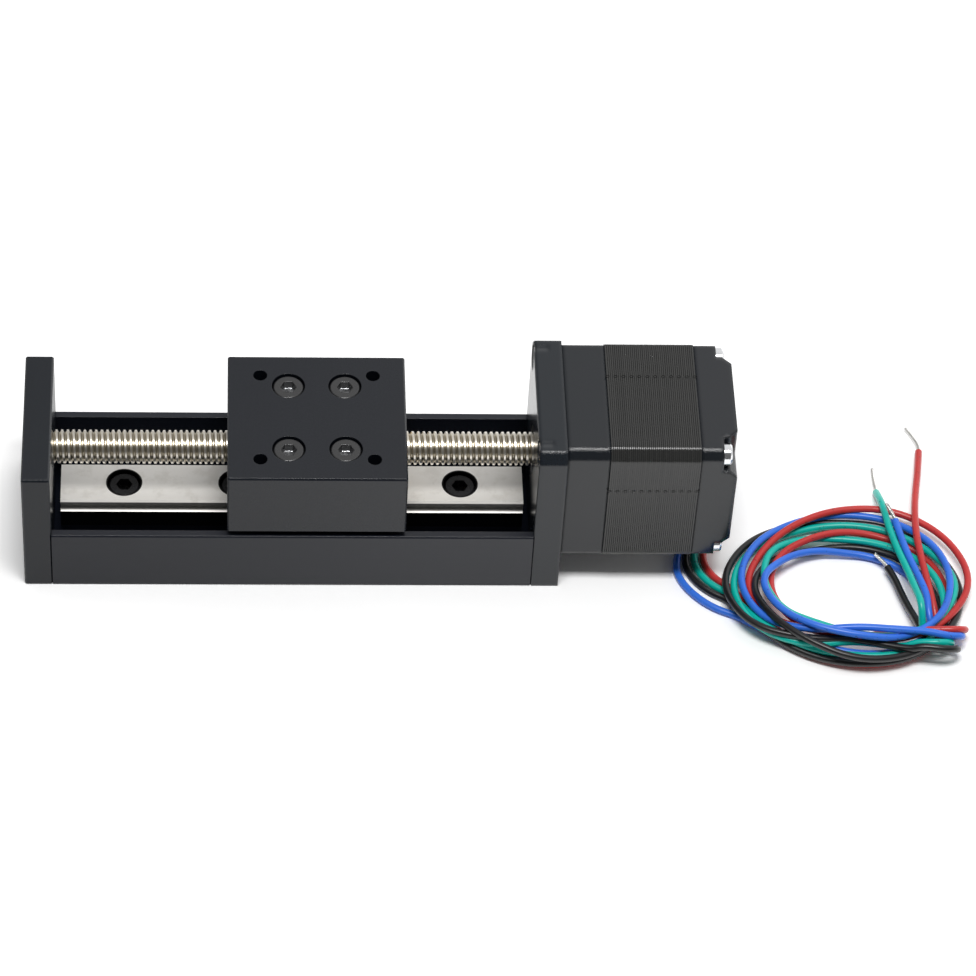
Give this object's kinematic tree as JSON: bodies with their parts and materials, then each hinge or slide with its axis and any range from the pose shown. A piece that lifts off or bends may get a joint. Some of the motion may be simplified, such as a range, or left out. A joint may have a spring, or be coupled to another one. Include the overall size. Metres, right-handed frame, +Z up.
{
  "type": "linear translation stage",
  "caption": "Motorised linear stage: a lead screw drives a carriage along a ball guide rail in a channel base, with a square stepper motor and loose leads.",
  "frame": {"origin": "middle of the channel base's underside", "axes": "+X along the travel towards the motor, +Y away from the side the leads lie on, +Z up from the base"},
  "size_m": [0.1693, 0.0583, 0.0341],
  "materials": {
    "black_anodised": "fine satin black anodising",
    "black_screw_steel": "black oxide",
    "ground_rail_steel": "ground bearing steel",
    "stainless_screw": "rolled stainless thread",
    "bearing_steel": "bright steel",
    "end_cap_plastic": "moulded plastic",
    "seal_rubber": "soft black rubber",
    "nut_brass": "turned brass",
    "motor_bell_black": "black painted die casting",
    "lamination_black": "black painted laminations",
    "winding_copper": "enamelled copper wire",
    "zinc_screw_steel": "bright zinc plate",
    "rotor_steel": "ground electrical steel",
    "magnet_grey": "sintered magnet",
    "blue_insulation": "soft wire insulation",
    "black_insulation": "soft wire insulation",
    "green_insulation": "soft wire insulation",
    "red_insulation": "soft wire insulation",
    "lead_bundle": "loose turns of insulated wire",
    "tinned_strand": "tinned copper strands"
  },
  "bodies": {
    "frame": {"base_channel": "black_anodised", "idle_end_plate": "black_anodised", "motor_flange": "black_anodised", "idle_plate_screws": "black_screw_steel", "flange_screws": "black_screw_steel", "motor_screws": "black_screw_steel", "guide_rail": "ground_rail_steel", "rail_screws": "black_screw_steel", "idle_bearing_outer": "bearing_steel", "front_bearing_outer": "bearing_steel", "rear_bearing_outer": "bearing_steel", "preload_washer": "bearing_steel", "motor_front_bell": "motor_bell_black", "stator_stack": "lamination_black", "stator_coils": "winding_copper", "motor_rear_bell": "motor_bell_black", "case_screws": "zinc_screw_steel", "lead_grommet": "seal_rubber", "blue_lead": "blue_insulation", "black_lead": "black_insulation", "green_lead": "green_insulation", "red_lead": "red_insulation", "blue_lead_end": "blue_insulation", "black_lead_end": "black_insulation", "green_lead_end": "green_insulation", "red_lead_end": "red_insulation", "lead_coil": "lead_bundle", "bare_tips": "tinned_strand"},
    "screw": {"lead_screw": "stainless_screw", "retaining_clip": "bearing_steel", "idle_bearing_inner": "bearing_steel", "front_bearing_inner": "bearing_steel", "rear_bearing_inner": "bearing_steel", "rotor_cup_front": "rotor_steel", "rotor_magnet": "magnet_grey", "rotor_cup_rear": "rotor_steel"},
    "carriage": {"carriage_block": "black_anodised", "carriage_screws": "black_screw_steel", "bearing_block": "ground_rail_steel", "block_end_cap_left": "end_cap_plastic", "block_end_cap_right": "end_cap_plastic", "block_seal_left": "seal_rubber", "block_seal_right": "seal_rubber", "lead_nut": "nut_brass", "nut_screws": "black_screw_steel"}
  },
  "joints": [
    {"name": "screw_spin", "type": "hinge", "parent": "frame", "child": "screw", "pos_m": [0, 0, 0.02], "axis": [1, 0, 0], "range_deg": [-7561, 10441]},
    {"name": "carriage_slide", "type": "slide", "parent": "frame", "child": "carriage", "axis": [1, 0, 0], "range_m": [-0.029, 0.021]}
  ],
  "couplings": [
    {"joint": "screw_spin", "follows": "carriage_slide", "rad_per_m": -6283.2}
  ]
}
